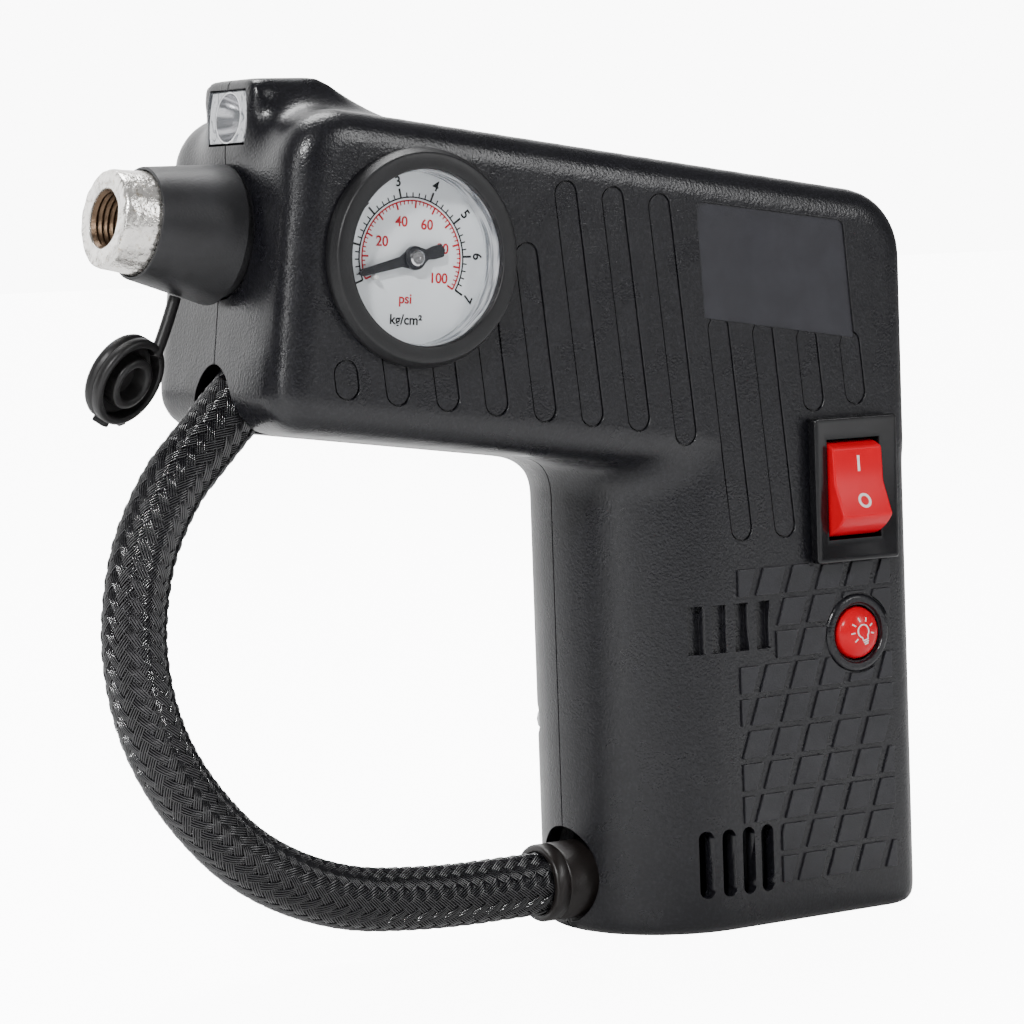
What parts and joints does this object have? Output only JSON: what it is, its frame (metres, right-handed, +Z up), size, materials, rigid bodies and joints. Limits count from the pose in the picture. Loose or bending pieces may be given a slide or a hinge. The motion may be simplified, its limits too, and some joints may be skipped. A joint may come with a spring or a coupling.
{
  "type": "hand-held electric air pump",
  "caption": "Pistol-shaped cordless air pump with a pressure gauge, lamp, rocker switch, push button, screw-on air connector with hanging dust cap, and a stiff braided hose looped into the grip",
  "frame": {"origin": "middle of the body's width on the flat base, under the middle of the grip", "axes": "+Z up out of the base, -X towards the nose, -Y out of the side with the gauge and switches"},
  "size_m": [0.1256, 0.0415, 0.1232],
  "materials": {
    "body_plastic": "fine spark texture, matt black",
    "gloss_plastic": "gloss black",
    "red_plastic": "gloss red",
    "clear_plastic": "clear moulding",
    "white_dial": "printed white",
    "needle_grey": "satin",
    "nickel": "nickel plated, rough cast",
    "steel": "machined",
    "brass": "machined",
    "aluminium": "die cast",
    "rubber": "soft matt",
    "braid": "rubber under a gloss black braided sheath",
    "white_nylon": "satin",
    "silicone": "translucent",
    "cell_wrap": "shrink film over a metal can",
    "board_green": "solder mask"
  },
  "bodies": {
    "body": {"air_manifold": "white_nylon", "battery_cell_1": "cell_wrap", "battery_cell_2": "cell_wrap", "battery_cell_3": "cell_wrap", "bourdon_tube": "brass", "button_spring": "steel", "button_switch": "body_plastic", "charge_socket": "gloss_plastic", "circuit_board": "board_green", "cylinder": "aluminium", "cylinder_head": "aluminium", "gauge_bezel": "gloss_plastic", "gauge_case": "brass", "gauge_dial": "white_dial", "gauge_lens": "clear_plastic", "gauge_stem": "brass", "gear_frame": "aluminium", "head_tube": "silicone", "hose": "braid", "hose_boot": "rubber", "hose_ferrule": "brass", "hose_tube": "silicone", "housing_screw_1": "steel", "housing_screw_2": "steel", "housing_screw_3": "steel", "housing_screw_4": "steel", "housing_screw_5": "steel", "housing_screw_6": "steel", "lamp_board": "board_green", "lamp_led": "clear_plastic", "lamp_lens": "clear_plastic", "lamp_reflector": "nickel", "left_housing": "body_plastic", "motor_can": "steel", "motor_end_cap": "white_nylon", "nozzle_collar": "body_plastic", "nozzle_tube": "silicone", "right_housing": "body_plastic", "rocker_pin": "steel", "shaft_bush": "brass", "stop_pin": "white_dial", "switch_frame": "gloss_plastic", "switch_terminal_1": "brass", "switch_terminal_2": "brass", "valve_connector": "nickel", "valve_pin": "brass", "valve_seal": "rubber"},
    "gauge_needle": {"gauge_needle": "needle_grey"},
    "rocker": {"switch_rocker": "red_plastic"},
    "light_button": {"light_button": "red_plastic"},
    "dust_cap": {"dust_cap": "rubber"},
    "motor_rotor": {"motor_armature": "steel", "pinion": "brass"},
    "crank": {"drive_gear": "white_nylon", "crank_shaft": "steel", "crank_web": "steel"},
    "piston": {"piston": "white_nylon", "wrist_pin": "steel"},
    "rod": {"connecting_rod": "aluminium"}
  },
  "joints": [
    {"name": "rocker_turn", "type": "hinge", "parent": "body", "child": "rocker", "pos_m": [0.0138, -0.0172, 0.0625], "axis": [1, 0, 0], "range_deg": [0, 26]},
    {"name": "button_press", "type": "slide", "parent": "body", "child": "light_button", "axis": [0, 1, 0], "range_m": [0, 0.0015], "stiffness_N_per_m": 300, "deforming": ["button_spring"]},
    {"name": "needle_turn", "type": "hinge", "parent": "body", "child": "gauge_needle", "pos_m": [-0.0578, -0.0175, 0.0983], "axis": [0, 1, 0], "range_deg": [0, 222], "stiffness_Nm_per_rad": 0.0001},
    {"name": "cap_swing", "type": "hinge", "parent": "body", "child": "dust_cap", "pos_m": [-0.0854, 0, 0.0942], "axis": [0, 1, 0], "range_deg": [-15, 20], "stiffness_Nm_per_rad": 0.002},
    {"name": "motor_spin", "type": "hinge", "parent": "body", "child": "motor_rotor", "pos_m": [0, 0, 0.0925], "axis": [-0.9895, 0, 0.1444], "continuous": true},
    {"name": "crank_spin", "type": "hinge", "parent": "body", "child": "crank", "pos_m": [-0.00182, 0, 0.08003], "axis": [-0.9895, 0, 0.1444], "continuous": true},
    {"name": "piston_stroke", "type": "slide", "parent": "body", "child": "piston", "axis": [0.1444, 0, 0.9895], "range_m": [-0.0036, 0.0053]},
    {"name": "rod_swing", "type": "hinge", "parent": "piston", "child": "rod", "pos_m": [-0.03742, 0, 0.09647], "axis": [-0.9895, 0, 0.1444], "range_deg": [0, 44]}
  ],
  "couplings": [
    {"joint": "crank_spin", "follows": "motor_spin", "ratio": -0.25}
  ]
}
